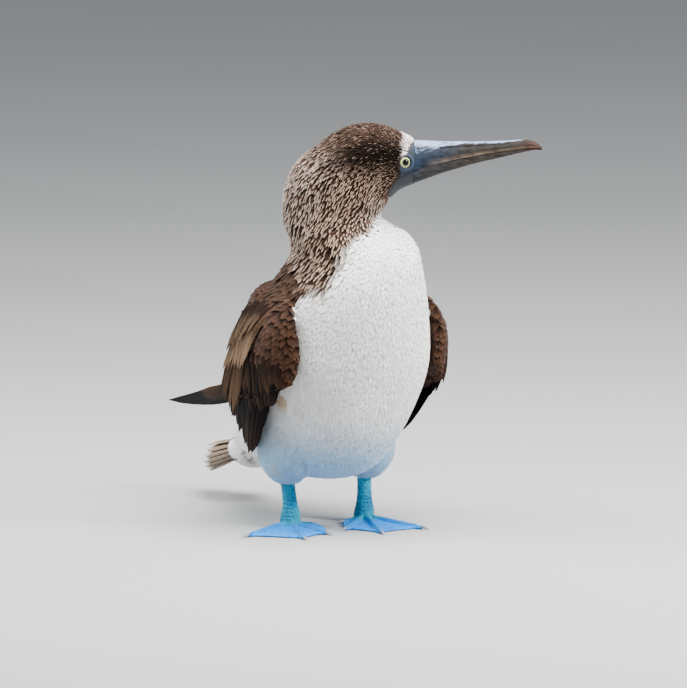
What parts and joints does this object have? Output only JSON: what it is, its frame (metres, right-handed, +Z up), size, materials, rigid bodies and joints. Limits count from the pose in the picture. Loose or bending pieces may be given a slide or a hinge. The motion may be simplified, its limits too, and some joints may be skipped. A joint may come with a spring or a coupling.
{
  "type": "blue-footed booby",
  "caption": "Life-size seabird standing on webbed blue feet, with folded wings, a long pointed bill turned to one side and a wedge of tail feathers.",
  "frame": {"origin": "on the floor, below the middle of the whole bird's bounding box", "axes": "+Z up, -Y the way the bird's breast faces, +X the bird's own left, to which its bill points"},
  "size_m": [0.2622, 0.3948, 0.3535],
  "materials": {
    "head_plumage": "streaked brown and buff feathers",
    "body_plumage": "soft white feathers",
    "wing_plumage": "dark brown feathers with pale edges",
    "bill": "satin horn, grey-blue",
    "eye": "wet gloss, pale yellow iris and black pupil",
    "foot_skin": "scaly skin, bright blue",
    "claw": "satin horn, grey"
  },
  "bodies": {
    "root": {"head": "head_plumage", "neck": "head_plumage", "torso": "body_plumage", "tail": "body_plumage", "wing_right": "wing_plumage", "wing_left": "wing_plumage", "bill_upper": "bill", "bill_lower": "bill", "eye_right": "eye", "eye_left": "eye", "leg_right": "foot_skin", "leg_left": "foot_skin", "foot_right": "foot_skin", "foot_left": "foot_skin", "claw_right_1": "claw", "claw_right_2": "claw", "claw_right_3": "claw", "claw_right_4": "claw", "claw_left_1": "claw", "claw_left_2": "claw", "claw_left_3": "claw", "claw_left_4": "claw"}
  },
  "joints": []
}
